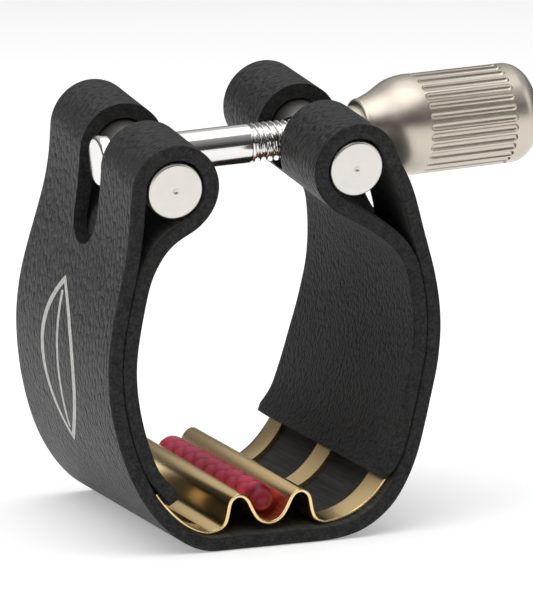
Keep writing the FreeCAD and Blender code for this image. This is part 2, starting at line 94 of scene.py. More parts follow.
@dataclass(frozen=True)
class StrapShape:
    """How the strap's cross lines lie on the cone of a mouthpiece."""

    cone: float = math.radians(11.2)
    tilt: float = math.radians(4.2)
    neck_height: float = 27.5
    screw_offset: float = -0.55
    pin_height: float = 33.8
    widths: tuple[Point, ...] = ((0.05, 29.5), (0.5, 26.0), (0.81, 23.0), (0.9, 22.3))
    easing: float = 2.2

    def lean(self, height: float) -> float:
        """Rise angle of a cross line at a height."""
        return self.cone * min(max(height / self.neck_height, 0.0), 1.0)

    def centre_y(self, height: float) -> float:
        """Y of the middle line at a height."""
        below = self.neck_height / self.cone * math.log(math.cos(self.lean(height)))
        return below - max(height - self.neck_height, 0.0) * math.tan(self.cone)

    def half_width(self, height: float) -> float:
        """Half of the strap's width at a height, with the changes eased."""
        levels = [share * self.pin_height for share, _ in self.widths]
        values = [wide for _, wide in self.widths]
        near = np.linspace(height - self.easing, height + self.easing, 5)
        return float(np.interp(near, levels, values).mean()) / 2

    def place(self, x: float, z: float, reach: float) -> Vector:
        """Put a middle-line point (x, z) on its cross line.

        Args:
            x, z: the point in the middle plane.
            reach: distance along the cross line, negative to the front.

        Returns:
            The place in metres.
        """
        lean = self.lean(z)
        return Vector((x, self.centre_y(z) + reach * math.cos(lean),
                       z + reach * math.sin(lean))) * MM

    @property
    def pin_axis(self) -> Vector:
        """Direction of the cross pins."""
        return Vector((0, math.cos(self.cone), math.sin(self.cone)))

    @property
    def screw_origin(self) -> Vector:
        """Where the cross screw meets the axis of the pin that holds it."""
        return joint_place("swivel_pin_turn") + self.pin_axis * self.screw_offset

    @property
    def screw_axis(self) -> Vector:
        """Direction of the cross screw, towards the thumb nut."""
        up = Vector((0, -math.sin(self.cone), math.cos(self.cone)))
        return Vector((math.cos(self.tilt), 0, 0)) + up * math.sin(self.tilt)

    def turned_frame(self, centre: Vector, axis: Vector, across: Vector) -> Matrix:
        """Frame of a turned piece: its own Z along an axis.

        Args:
            centre: origin in millimetres.
            axis: direction of the piece's Z.
            across: direction of the piece's X.

        Returns:
            A matrix from the piece's millimetres to metres.
        """
        turn = Matrix((across, axis.cross(across), axis)).transposed().to_4x4()
        return Matrix.Scale(MM, 4) @ Matrix.Translation(centre) @ turn


STRAP = StrapShape()


class SmoothLine:
    """Natural cubic spline through (x, z) points, measured by its arc length."""

    def __init__(self, points: Sequence[Point], fine: int = 1600) -> None:
        """Fit the spline.

        Args:
            points: the places it passes through.
            fine: number of samples that measure its length.
        """
        places = np.array(points, float)
        knots = np.concatenate([[0.0], np.cumsum(np.linalg.norm(np.diff(places, axis=0), axis=1))])
        count = len(knots)
        gaps = np.diff(knots)
        matrix, right = np.eye(count), np.zeros((count, 2))
        for i in range(1, count - 1):
            matrix[i, i - 1:i + 2] = gaps[i - 1], 2 * (gaps[i - 1] + gaps[i]), gaps[i]
            slopes = np.diff(places[i - 1:i + 2], axis=0) / gaps[i - 1:i + 1, None]
            right[i] = 6 * (slopes[1] - slopes[0])
        bends = np.linalg.solve(matrix, right)
        at = np.linspace(0, knots[-1], fine)
        span = np.clip(np.searchsorted(knots, at, side="right") - 1, 0, count - 2)
        gap, before, after = gaps[span], at - knots[span], knots[span + 1] - at
        self.places = np.stack([
            (bends[span, k] * after ** 3 + bends[span + 1, k] * before ** 3) / (6 * gap)
            + (places[span, k] / gap - bends[span, k] * gap / 6) * after
            + (places[span + 1, k] / gap - bends[span + 1, k] * gap / 6) * before
            for k in (0, 1)], axis=1)
        steps = np.linalg.norm(np.diff(self.places, axis=0), axis=1)
        self.lengths = np.concatenate([[0.0], np.cumsum(steps)])
        self.slopes = np.gradient(self.places, self.lengths, axis=0)

    @property
    def length(self) -> float:
        """Whole length of the line."""
        return float(self.lengths[-1])

    def at(self, distance: float, offset: float = 0.0) -> Point:
        """Give a point beside the line.

        Args:
            distance: how far along the line.
            offset: how far to the left of its direction.

        Returns:
            The (x, z) point.
        """
        here = [float(np.interp(distance, self.lengths, self.places[:, k])) for k in (0, 1)]
        along = np.array([float(np.interp(distance, self.lengths, self.slopes[:, k])) for k in (0, 1)])
        along /= np.linalg.norm(along)
        return here[0] - offset * along[1], here[1] + offset * along[0]

    def distance_at(self, share: Callable[[np.ndarray], np.ndarray], value: float) -> float:
        """First distance at which a measure of the points reaches a value."""
        measure = share(self.places)
        return float(self.lengths[int(np.argmax(measure >= value))])


# ---------------------------------------------------------------- mesh helpers

def deselect() -> None:
    """Leave edit mode and deselect everything."""
    if bpy.context.object and bpy.context.object.mode != "OBJECT":
        bpy.ops.object.mode_set(mode="OBJECT")
    bpy.ops.object.select_all(action="DESELECT")


def select_only(piece: bpy.types.Object) -> None:
    """Make one piece the only selected one, and the active one."""
    deselect()
    piece.select_set(True)
    bpy.context.view_layer.objects.active = piece


def mesh_piece(name: str, places: Sequence[Vector], faces: Sequence[Sequence[int]]) -> bpy.types.Object:
    """Make a piece from places in metres and faces."""
    mesh = bpy.data.meshes.new(name)
    mesh.from_pydata([tuple(place) for place in places], [], faces)
    mesh.update()
    piece = bpy.data.objects.new(name, mesh)
    bpy.context.scene.collection.objects.link(piece)
    return piece


def apply_modifier(piece: bpy.types.Object, kind: str, **settings: Any) -> None:
    """Add a modifier, set it up and apply it at once."""
    select_only(piece)
    modifier = piece.modifiers.new(kind.title(), kind)
    for word, value in settings.items():
        setattr(modifier, word, value)
    bpy.ops.object.modifier_apply(modifier=modifier.name)


def cut(piece: bpy.types.Object, cutter: bpy.types.Object) -> None:
    """Cut one piece with another, and throw the cutter away."""
    apply_modifier(piece, "BOOLEAN", operation="DIFFERENCE", object=cutter, solver="EXACT",
                   material_mode="TRANSFER")
    bpy.data.objects.remove(cutter, do_unlink=True)


def smooth(piece: bpy.types.Object, degrees: float = 35.0) -> None:
    """Shade a piece smooth, except at edges sharper than an angle."""
    select_only(piece)
    bpy.ops.object.shade_smooth_by_angle(angle=math.radians(degrees))


def settle(piece: bpy.types.Object, matrix: Matrix) -> None:
    """Put a piece's place in its mesh and point its faces outwards."""
    piece.data.transform(matrix)
    select_only(piece)
    bpy.ops.object.mode_set(mode="EDIT")
    bpy.ops.mesh.select_all(action="SELECT")
    bpy.ops.mesh.normals_make_consistent(inside=False)
    bpy.ops.object.mode_set(mode="OBJECT")


def dress(piece: bpy.types.Object, *materials: bpy.types.Material) -> None:
    """Give a piece its materials, in the order of its face indexes."""
    for material in materials:
        piece.data.materials.append(material)


def spun(name: str, profile: Sequence[Point], rounding: dict[int, float],
         steps: int = 96) -> bpy.types.Object:
    """Turn a profile about Z, with some of its corners rounded.

    Args:
        name: name of the new piece.
        profile: (radius, height) corners, from the axis round to the axis.
        rounding: corner index to the size of its rounding.
        steps: divisions round the axis.

    Returns:
        The closed piece, in millimetres.
    """
    deselect()
    bpy.ops.mesh.primitive_plane_add(size=1.0)
    piece = bpy.context.object
    piece.name = piece.data.name = name
    bpy.ops.object.mode_set(mode="EDIT")
    bpy.ops.mesh.select_all(action="SELECT")
    bpy.ops.mesh.merge(type="CENTER")
    start = profile[0]
    bpy.ops.transform.translate(value=(start[0], 0, start[1]))
    for before, after in zip(profile, profile[1:]):
        bpy.ops.mesh.extrude_vertices_move(TRANSFORM_OT_translate={
            "value": (after[0] - before[0], 0, after[1] - before[1])})
    for index, size in sorted(rounding.items()):
        corner = Vector((profile[index][0], 0, profile[index][1]))
        data = bmesh.from_edit_mesh(piece.data)
        for vert in data.verts:
            vert.select_set((vert.co - corner).length < 1e-4)
        data.select_flush_mode()
        bpy.ops.mesh.bevel(offset=size, segments=6, profile=0.5, affect="VERTICES")
    bpy.ops.mesh.select_all(action="SELECT")
    bpy.ops.mesh.spin(steps=steps, angle=math.tau, center=(0, 0, 0), axis=(0, 0, 1))
    bpy.ops.mesh.select_all(action="SELECT")
    bpy.ops.mesh.remove_doubles(threshold=1e-4)
    bpy.ops.mesh.normals_make_consistent(inside=False)
    bpy.ops.object.mode_set(mode="OBJECT")
    return piece


def rod(name: str, radius: float, length: float, steps: int = 64) -> bpy.types.Object:
    """A plain cylinder about Z that serves as a cutter, centred at the origin."""
    deselect()
    bpy.ops.mesh.primitive_cylinder_add(vertices=steps, radius=radius, depth=length)
    bpy.context.object.name = name
    return bpy.context.object


def formed_tube(name: str, around: int, levels: Sequence[float],
                radius: Callable[[float, float], float]) -> bpy.types.Object:
    """Closed tube about Z whose radius changes round it and along it.

    Args:
        name: name of the new piece.
        around: divisions round the axis.
        levels: heights of the rings.
        radius: radius at (angle, height).

    Returns:
        The piece, in millimetres.
    """
    places: list[Vector] = []
    for level in levels:
        for step in range(around):
            angle = math.tau * step / around
            reach = radius(angle, level)
            places.append(Vector((reach * math.cos(angle), reach * math.sin(angle), level)))
    faces: list[list[int]] = []
    for ring in range(len(levels) - 1):
        low, high = ring * around, (ring + 1) * around
        faces += [[low + i, low + (i + 1) % around, high + (i + 1) % around, high + i]
                  for i in range(around)]
    for ring, level, turn in ((0, levels[0], -1), (len(levels) - 1, levels[-1], 1)):
        hub = len(places)
        places.append(Vector((0, 0, level)))
        faces += [[ring * around + i, ring * around + (i + 1) % around, hub][::turn]
                  for i in range(around)]
    return mesh_piece(name, places, faces)


# ---------------------------------------------------------------- shader helpers

class Tone:
    """A shader socket that takes part in sums written as Python."""

    def __init__(self, shader: "Shader", socket: bpy.types.NodeSocket) -> None:
        """Hold a socket of a shader."""
        self.shader = shader
        self.socket = socket

    def _sum(self, operation: str, first: Any, second: Any) -> "Tone":
        """Add one Math node and give its result."""
        made = self.shader.node("ShaderNodeMath", {"operation": operation}, {0: first, 1: second})
        return Tone(self.shader, made.outputs[0])

    def __add__(self, other: Any) -> "Tone":
        """Sum."""
        return self._sum("ADD", self, other)

    __radd__ = __add__

    def __mul__(self, other: Any) -> "Tone":
        """Product."""
        return self._sum("MULTIPLY", self, other)

    __rmul__ = __mul__

    def __sub__(self, other: Any) -> "Tone":
        """Difference."""
        return self._sum("SUBTRACT", self, other)

    def __rsub__(self, other: Any) -> "Tone":
        """Reflected difference."""
        return self._sum("SUBTRACT", other, self)

    def __truediv__(self, other: Any) -> "Tone":
        """Quotient."""
        return self._sum("DIVIDE", self, other)

    def __lt__(self, other: Any) -> "Tone":
        """One where this is less than the other, else zero."""
        return self._sum("LESS_THAN", self, other)

    def __gt__(self, other: Any) -> "Tone":
        """One where this is more than the other, else zero."""
        return self._sum("GREATER_THAN", self, other)

    def absolute(self) -> "Tone":
        """Value without its sign."""
        return self._sum("ABSOLUTE", self, 0.0)


class Shader:
    """A material under construction."""

    def __init__(self, name: str) -> None:
        """Start an empty node material."""
        self.material = bpy.data.materials.new(name)
        self.material.use_nodes = True
        self.tree = self.material.node_tree
        self.tree.nodes.clear()

    def node(self, kind: str, settings: dict[str, Any] | None = None,
             inputs: dict[Any, Any] | None = None) -> bpy.types.Node:
        """Add one node.

        Args:
            kind: the node's type.
            settings: its own settings; "stops" holds a ramp's (position, colour) pairs.
            inputs: socket name or number to a value, a socket or a Tone.

        Returns:
            The node.
        """
        made = self.tree.nodes.new(kind)
        for word, value in (settings or {}).items():
            if word == "stops":
                ramp = made.color_ramp.elements
                while len(ramp) < len(value):
                    ramp.new(0.5)
                for stop, (position, colour) in zip(ramp, value):
                    stop.position = position
                    stop.color = (*colour, 1.0)
            else:
                setattr(made, word, value)
        for word, value in (inputs or {}).items():
            if isinstance(value, Tone):
                value = value.socket
            if isinstance(value, bpy.types.NodeSocket):
                self.tree.links.new(value, made.inputs[word])
            else:
                made.inputs[word].default_value = value
        return made

    def tone(self, kind: str, output: Any = 0, settings: dict[str, Any] | None = None,
             inputs: dict[Any, Any] | None = None) -> Tone:
        """Add one node and give one of its outputs."""
        return Tone(self, self.node(kind, settings, inputs).outputs[output])

    def place(self, scale: tuple[float, float, float] = (1, 1, 1), layer: str = "",
              turn: tuple[float, float, float] = (0, 0, 0)) -> Tone:
        """Coordinates for a pattern.

        Args:
            scale: patterns per unit along each axis.
            layer: name of a UV layer, or nothing for Object coordinates.
            turn: angles that turn the pattern.

        Returns:
            The coordinates.
        """
        if layer:
            source = self.tone("ShaderNodeUVMap", 0, {"uv_map": layer})
        else:
            source = self.tone("ShaderNodeTexCoord", "Object")
        return self.tone("ShaderNodeMapping", 0, None,
                         {"Vector": source, "Rotation": turn, "Scale": scale})

    def noise(self, place: Tone, detail: float = 4.0, rough: float = 0.55) -> Tone:
        """Smooth noise from 0 to 1."""
        return self.tone("ShaderNodeTexNoise", 0, None,
                         {"Vector": place, "Scale": 1.0, "Detail": detail, "Roughness": rough})

    def cells(self, place: Tone, feature: str = "F1", spread: float = 1.0) -> Tone:
        """Distance pattern of scattered cells."""
        return self.tone("ShaderNodeTexVoronoi", "Distance", {"feature": feature},
                         {"Vector": place, "Scale": 1.0, "Randomness": spread})

    def mixed(self, share: Any, first: Sequence[float] | Tone, second: Sequence[float] | Tone) -> Tone:
        """Blend of two colours."""
        def paint(value: Any) -> Any:
            """A colour with its alpha, or a socket as it is."""
            return value if isinstance(value, Tone) else (*value, 1.0)
        return self.tone("ShaderNodeMix", 2, {"data_type": "RGBA"},
                         {0: share, 6: paint(first), 7: paint(second)})

    def bump(self, height: Tone, strength: float, distance: float, below: Tone | None = None) -> Tone:
        """Normal from a height pattern."""
        inputs: dict[Any, Any] = {"Strength": strength, "Distance": distance, "Height": height}
        if below is not None:
            inputs["Normal"] = below
        return self.tone("ShaderNodeBump", 0, None, inputs)

    def finish(self, **inputs: Any) -> bpy.types.Material:
        """Join everything to a Principled shader and give the material."""
        named = {word.replace("_", " "): value for word, value in inputs.items()}
        shell = self.node("ShaderNodeBsdfPrincipled", None, named)
        self.node("ShaderNodeOutputMaterial", None, {"Surface": shell.outputs[0]})
        return self.material


@dataclass(frozen=True)
class GrainFinish:
    """Dyed leather whose grain follows the strap."""

    name: str
    # dark is the painted shade in the grain's hollows, light the painted highlight on its crests.
    dark: tuple[float, float, float] = (0.0030, 0.0030, 0.0033)
    light: tuple[float, float, float] = (0.026, 0.026, 0.028)
    pebble: float = 2.5
    stretch: float = 1.8
    wrinkle: float = 0.35
    depth: float = 0.36
    gloss: float = 0.33
    mark: bool = False

    def build(self) -> bpy.types.Material:
        """Make the material: cells and creases that run with the strap, with painted shade in their hollows
        and painted highlight on their crests.
        """
        shader = Shader(self.name)
        scale = 100.0
        along, across = scale * self.pebble / self.stretch, scale * self.pebble
        warp = shader.tone("ShaderNodeTexNoise", "Color", None,
                           {"Vector": shader.place((along * 0.8, across * 0.8, 1), "hide"), "Scale": 1.0})
        drift = shader.tone("ShaderNodeVectorMath", 0, {"operation": "SCALE"}, {0: warp, 3: 1.1})
        spot = shader.tone("ShaderNodeVectorMath", 0, {"operation": "ADD"},
                           {0: shader.place((along, across, 1), "hide"), 1: drift})
        pits = shader.cells(spot)
        pebbles = 1 - pits * pits * 1.5
        crease = shader.noise(shader.place((along * 0.55, across * 0.9, 1), "hide"), 4.0, 0.6)
        fine = shader.noise(shader.place((along * 3.5, across * 3.5, 1), "hide"), 3.0, 0.6)
        broad = shader.noise(shader.place((scale * 0.12, scale * 0.10, 1), "hide"), 2.0)
        height = pebbles * (1 - self.wrinkle) + crease * (2.0 * self.wrinkle) + fine * 0.22
        # The colour follows the grain's height: painted shade in the hollows and painted highlight on the
        # crests, plus a broad random change of tone.
        tint = shader.tone("ShaderNodeValToRGB", 0, {"stops": [(0.45, self.dark), (1.0, self.light)]},
                           {0: height * 0.62 + broad * 0.22})
        rough = self.gloss + 0.16 * fine + 0.14 * broad
        if self.mark:
            printed = self.reed_mark(shader)
            tint = shader.mixed(printed, tint, (0.62, 0.61, 0.58))
            rough = rough + printed * 0.1
        normal = shader.bump(height, 1.0, self.depth * MM)
        return shader.finish(Base_Color=tint, Roughness=rough, Normal=normal, Specular_IOR_Level=0.5)

    def reed_mark(self, shader: Shader) -> Tone:
        """Mask of a plain printed leaf: two arcs with a vein between them."""
        spot = shader.place((100.0, 100.0, 1.0), "hide")
        parts = shader.node("ShaderNodeSeparateXYZ", None, {0: spot})
        along = (Tone(shader, parts.outputs[0]) - 24.0) / 7.4
        across = (Tone(shader, parts.outputs[1]) - 1.0).absolute()
        arc = 4.2 * (1 - along * along)
        line = (across - arc).absolute() < 0.42
        vein = (across < 0.26) * (along.absolute() < 0.86)
        worn = shader.noise(shader.place((900.0, 900.0, 1.0), "hide"), 3.0) > 0.34
        return ((line * (along.absolute() < 1.04) + vein) > 0.5) * worn


@dataclass(frozen=True)
class CutEdgeFinish:
    """Cut leather edge: dyed fibres with grey ones showing through."""

    name: str = "cut_edge"
    dark: tuple[float, float, float] = (0.005, 0.005, 0.005)
    grey: tuple[float, float, float] = (0.050, 0.048, 0.046)

    def build(self) -> bpy.types.Material:
        """Make the material from short scattered fibres."""
        shader = Shader(self.name)
        fibre = shader.noise(shader.place((4200, 1500, 4200)), 5.0, 0.7)
        speck = shader.noise(shader.place((1800, 1800, 1800)), 3.0, 0.6)
        mix = shader.tone("ShaderNodeValToRGB", 0, {"stops": [(0.42, self.dark), (0.80, self.grey)]},
                          {0: fibre * 0.6 + speck * 0.4})
        normal = shader.bump(fibre + speck * 0.6, 0.7, 0.08 * MM)
        return shader.finish(Base_Color=mix, Roughness=0.86 - 0.2 * fibre, Normal=normal,
                             Specular_IOR_Level=0.3)


@dataclass(frozen=True)
class FleshFinish:
    """Inner face of the leather, with fine ribs along the mouthpiece."""

    name: str = "ribbed_lining"

    def build(self) -> bpy.types.Material:
        """Make the material from ribs that run across the strap's length."""
        shader = Shader(self.name)
        ribs = shader.noise(shader.place((260.0, 12.0, 1), "hide"), 4.0, 0.6)
        specks = shader.noise(shader.place((600.0, 600.0, 1), "hide"), 3.0)
        tint = shader.tone("ShaderNodeValToRGB", 0,
                           {"stops": [(0.35, (0.007, 0.007, 0.007)), (0.80, (0.085, 0.083, 0.080))]},
                           {0: ribs * 0.7 + specks * 0.3})
        return shader.finish(Base_Color=tint, Roughness=0.62 + 0.2 * specks,
                             Normal=shader.bump(ribs, 1.0, 0.12 * MM))


@dataclass(frozen=True)
class MetalFinish:
    """Plated or polished metal with fine working marks."""

    name: str
    tint: tuple[float, float, float]
    shade: tuple[float, float, float]
    gloss: float
    marks: tuple[float, float, float]
    spread: float = 0.10
    relief: float = 0.35

    def build(self) -> bpy.types.Material:
        """Make the material: working marks along one way and a little cloudiness."""
        shader = Shader(self.name)
        marks = shader.noise(shader.place(self.marks), 4.0, 0.62)
        cloud = shader.noise(shader.place((160, 160, 160)), 3.0, 0.5)
        tint = shader.mixed(cloud * 0.65 + marks * 0.35, self.shade, self.tint)
        rough = self.gloss + self.spread * marks + 0.5 * self.spread * cloud
        return shader.finish(Base_Color=tint, Metallic=1.0, Roughness=rough,
                             Normal=shader.bump(marks, self.relief, 0.012 * MM))


@dataclass(frozen=True)
class TurnedFinish:
    """Metal face with fine lathe rings round the piece's own axis."""

    name: str
    tint: tuple[float, float, float]
    centre: Vector
    axis: Vector
    gloss: float = 0.24
    pitch: float = 0.11

    def build(self) -> bpy.types.Material:
        """Make the material: rings about an axis, broken by a little noise."""
        shader = Shader(self.name)
        place = shader.tone("ShaderNodeTexCoord", "Object")
        arm = shader.tone("ShaderNodeVectorMath", 0, {"operation": "SUBTRACT"},
                          {0: place, 1: tuple(self.centre * MM)})
        along = shader.tone("ShaderNodeVectorMath", "Vector", {"operation": "CROSS_PRODUCT"},
                            {0: arm, 1: tuple(self.axis)})
        reach = shader.tone("ShaderNodeVectorMath", "Value", {"operation": "LENGTH"}, {0: along})
        loose = shader.noise(shader.place((700, 700, 700)), 3.0, 0.55)
        line = shader.tone("ShaderNodeCombineXYZ", 0, None,
                           {0: reach * (1.0 / (self.pitch * MM)), 1: loose * 0.6})
        rings = shader.noise(line, 3.0, 0.6)
        tint = shader.mixed(loose * 0.5 + rings * 0.3, tuple(0.78 * part for part in self.tint), self.tint)
        return shader.finish(Base_Color=tint, Metallic=1.0, Roughness=self.gloss + 0.14 * rings,
                             Normal=shader.bump(rings, 0.5, 0.010 * MM))


@dataclass(frozen=True)
class CordFinish:
    """Waxed crimson cord with fine lying fibres and a darker sealed end."""

    name: str = "crimson_cord"
    # deep is the painted shade in the hollows between strands, bright the painted highlight on their crowns;
    # sealed is the melted end's own colour.
    deep: tuple[float, float, float] = (0.22, 0.004, 0.022)
    bright: tuple[float, float, float] = (0.95, 0.060, 0.150)
    sealed: tuple[float, float, float] = (0.235, 0.003, 0.018)

    def build(self) -> bpy.types.Material:
        """Make the material: fibres along the strands, painted shade in the hollows between strands, painted
        highlight on their crowns, and a darker sealed end.
        """
        shader = Shader(self.name)
        fibre = shader.noise(shader.place((5200, 900, 5200), "", (0.0, 0.35, 0.5)), 4.0, 0.6)
        lump = shader.tone("ShaderNodeAttribute", "Fac", {"attribute_name": "lump"})
        seal = shader.tone("ShaderNodeAttribute", "Fac", {"attribute_name": "seal"})
        # Colour follows the strands' swelling: painted shade in the hollows, painted highlight on the crowns,
        # with random fibre tone.
        body = shader.mixed(lump * 0.75 + fibre * 0.35 - 0.08, self.deep, self.bright)
        tint = shader.mixed(seal, body, self.sealed)
        return shader.finish(Base_Color=tint, Roughness=0.30 + 0.20 * fibre,
                             Normal=shader.bump(fibre * (1 - seal * 0.8), 0.55, 0.05 * MM),
                             Specular_IOR_Level=0.45)


@dataclass(frozen=True)
class FloorFinish:
    """Pale matt floor."""

    name: str = "pale_floor"

    def build(self) -> bpy.types.Material:
        """Make the material with a barely seen unevenness."""
        shader = Shader(self.name)
        cloud = shader.noise(shader.place((3, 3, 3)), 2.0)
        pale = shader.mixed(cloud, (0.90, 0.90, 0.90), (0.94, 0.94, 0.94))
        return shader.finish(Base_Color=pale, Roughness=0.9, Specular_IOR_Level=0.1,
                             Emission_Color=pale, Emission_Strength=0.34)


# ---------------------------------------------------------------- the strap

@dataclass
class Strip:
    """A band of even thickness drawn along a path of paired points."""

    name: str
    thickness: float
    rounding: float
    cells_across: int
    half: Callable[[float, float], float]
    edge_bulge: float = 1.15

    def section(self) -> list[tuple[float, float, float, int]]:
        """Ring of the cross-section.

        Returns:
            For each point: share of the flat half width, sideways and depth
            distances beyond it, and the kind of the face after it
            (0 shown face, 1 edge, 2 hidden face).
        """
        r, t = self.rounding, self.thickness
        turns = [math.radians(angle) for angle in (30, 60, 90)]
        ring: list[tuple[float, float, float, int]] = []
        for side, face in ((1.0, 0), (-1.0, 2)):
            half = [(0.0, 0.0)] + [(r * math.sin(a), r - r * math.cos(a)) for a in turns]
            half += [(self.edge_bulge * r, t / 2)]
            half += [(r * math.sin(a), t - r + r * math.cos(a)) for a in turns[::-1]]
            flat = 0.0 if side > 0 else t
            for step in range(self.cells_across):
                ring.append((-side + 2 * side * step / self.cells_across, 0.0, flat, face))
            ring += [(side, side * out, deep if side > 0 else t - deep, 1) for out, deep in half]
        return ring

    def build(self, stations: Sequence[tuple[float, Point, Point]],
              slot_of: Callable[[float, int], int]) -> bpy.types.Object:
        """Make the mesh.

        Args:
            stations: (distance, shown point, hidden point) along the path.
            slot_of: material index at (distance, kind of face).

        Returns:
            The piece in metres, with a UV layer "hide" of distance and reach
            in tenths of a metre.
        """
        ring = self.section()
        places: list[Vector] = []
        spots: list[Point] = []
        for distance, shown, hidden in stations:
            (x0, z0), (x1, z1) = shown, hidden
            flat = self.half(distance, z0) - self.rounding
            for share, side, depth, _ in ring:
                reach = share * flat + side
                place = depth / self.thickness
                places.append(STRAP.place(x0 + (x1 - x0) * place, z0 + (z1 - z0) * place, reach))
                spots.append((distance * 0.01, reach * 0.01))
        count = len(ring)
        faces: list[list[int]] = []
        slots: list[int] = []
        for row in range(len(stations) - 1):
            low, high = row * count, (row + 1) * count
            for i in range(count):
                after = (i + 1) % count
                faces.append([low + i, low + after, high + after, high + i])
                slots.append(slot_of(stations[row][0], ring[i][3]))
        for row, turn in ((0, -1), (len(stations) - 1, 1)):
            faces.append([row * count + i for i in range(count)][::turn])
            slots.append(slot_of(stations[row][0], 1))
        piece = mesh_piece(self.name, places, faces)
        layer = piece.data.uv_layers.new(name="hide")
        for loop in piece.data.loops:
            layer.data[loop.index].uv = spots[loop.vertex_index]
        for face, slot in zip(piece.data.polygons, slots):
            face.material_index = slot
        return piece


@dataclass
class StrapHalf:
    """One half of the strap: base, arm, loop round its pin and turned-back lining."""

    side: Side
    body: str
    nodes: tuple[str, ...]
    bulge: float
    pin: Vector
    outline: tuple[Point, ...]
    loop_start: float
    loop_turn: float
    flat_half: float = 4.5
    thickness: float = 1.3
    loop_radius: float = 3.97
    join_share: float = 0.74
    flex_height: float = 5.6
    lining_overlap: float = 1.3
    lining_lift: float = 0.40
    step: float = 0.45
    slot_half: float = 2.75
    slot_outside: float = 7.6
    slot_inside: float = 2.9
    slot_shift: float = -0.2
    glue_gap: float = 0.02
    lift_from: float = 0.5
    lift_run: float = 2.6
    lining_turn: float = 3.0
    relief_radius: float = 3.24
    relief_start: float = 20.4
    relief_length: float = 12.0
    bend_start: Point = (1.8, 2.3)
    bend_end: Point = (2.0, 9.5)

    def __post_init__(self) -> None:
        """Draw the outer face from the flat base to the loop."""
        sign = self.side.value
        meet = math.radians(self.loop_start)
        self.meet_point = self.on_loop(meet, self.loop_radius)
        rise = (sign * math.sin(meet), -sign * math.cos(meet))
        lead = self.step
        points = [(-sign * self.flat_half, 0.0), (-sign * (self.flat_half + lead), 0.0)]
        points += [(-sign * fx * self.bulge, fz * self.pin.z) for fx, fz in self.outline]
        points += [(self.meet_point[0] - lead * rise[0], self.meet_point[1] - lead * rise[1]),
                   self.meet_point]
        self.outer = SmoothLine(points)
        self.flex = self.height_distance(self.flex_height)
        self.join = self.height_distance(self.join_share * self.pin.z)

    def height_distance(self, height: float) -> float:
        """Distance up the outer face to a height."""
        return self.outer.distance_at(lambda places: places[:, 1], height)

    def on_loop(self, angle: float, radius: float) -> Point:
        """Point on a circle round the pin."""
        return self.pin.x + radius * math.cos(angle), self.pin.z + radius * math.sin(angle)

    def inside(self, distance: float, offset: float) -> Point:
        """Point at an offset inside the outer face."""
        return self.outer.at(distance, -offset * self.side.value)

    def stations(self) -> list[tuple[float, Point, Point]]:
        """Paired points from the middle of the base to the end of the lining."""
        thick, gap, sign = self.thickness, self.glue_gap, self.side.value
        pairs: list[tuple[Point, Point]] = []
        for share in np.linspace(0, 1, 10)[:-1]:
            pairs.append(((-sign * self.flat_half * share, 0.0), (-sign * self.flat_half * share, thick)))
        for at in np.linspace(0, self.outer.length, int(self.outer.length / self.step)):
            pairs.append((self.inside(at, 0.0), self.inside(at, thick)))
        turns = int(abs(self.loop_turn) / 5)
        for index in range(1, turns + 1):
            angle = math.radians(self.loop_start + self.loop_turn * index / turns)
            pairs.append((self.on_loop(angle, self.loop_radius),
                          self.on_loop(angle, self.loop_radius - thick)))
        last = math.radians(self.loop_start + self.loop_turn)
        start = pairs[-1][0]
        leave = (sign * math.sin(last), -sign * math.cos(last))
        end = self.inside(self.join, 2 * thick + gap)
        above = self.inside(self.join + self.step, 2 * thick + gap)
        lead = self.step
        back = SmoothLine([start, (start[0] + lead * leave[0], start[1] + lead * leave[1]),
                           (self.pin.x + sign * 0.1 * self.loop_radius, self.pin.z - 1.12 * self.loop_radius),
                           above, end])
        for at in np.linspace(0, back.length, int(back.length / self.step))[1:]:
            pairs.append((back.at(at), back.at(at, -thick * sign)))
        low = self.flex - self.lining_overlap
        span = self.join - low
        for index in range(1, int(span / self.step) + 1):
            at = self.join - span * index / int(span / self.step)
            above_tips = max(0.0, at - (self.flex - self.lift_from))
            lift = self.lining_lift * max(0.0, 1 - above_tips / self.lift_run) ** 1.5
            pairs.append((self.inside(at, 2 * thick + gap + lift), self.inside(at, thick + gap + lift)))
        rows, distance = [], 0.0
        for index, (shown, hidden) in enumerate(pairs):
            if index:
                before = pairs[index - 1][0]
                distance += math.hypot(shown[0] - before[0], shown[1] - before[1])
            rows.append((distance, shown, hidden))
        return rows

    def cutters(self, edge: bpy.types.Material) -> list[bpy.types.Object]:
        """Pieces that cut the screw's slot: through the loop, and down the outer layer."""
        deselect()
        tall = self.slot_inside + 9.0
        bpy.ops.mesh.primitive_cube_add(size=1.0, location=(0, 0, 0))
        top = bpy.context.object
        top.scale = (18.0, 2 * self.slot_half, tall)
        top.location = (0, 0, tall / 2 - self.slot_inside)
        bpy.ops.object.transform_apply(location=True, scale=True)
        self.round_low_edges(top)
        turn = Matrix.Rotation(STRAP.cone, 4, "X")
        shift = STRAP.pin_axis * self.slot_shift
        top.data.transform(Matrix.Scale(MM, 4) @ Matrix.Translation(self.pin + shift) @ turn)
        low = self.height_distance(self.pin.z - self.slot_outside)
        reach = self.slot_half

        def half(distance: float, height: float) -> float:
            """Half width of the tail, rounded at its lower end."""
            left = min(distance - low + 0.02, reach)
            return math.sqrt(reach ** 2 - (reach - left) ** 2) + 0.05

        deep = self.thickness + 0.6 + 0.12
        strip = Strip("slot_tail", deep, 0.02, 4, half)
        rows = []
        for at in np.concatenate([np.linspace(low, low + reach, 14)[:-1],
                                  np.linspace(low + reach, self.outer.length - 0.2, 16)]):
            rows.append((float(at), self.inside(float(at), -0.6),
                         self.inside(float(at), self.thickness + 0.12)))
        tail = strip.build(rows, lambda distance, kind: 0)
        settle(tail, Matrix.Translation(shift * MM))
        for cutter in (top, tail):
            dress(cutter, edge)
        return [top, tail]

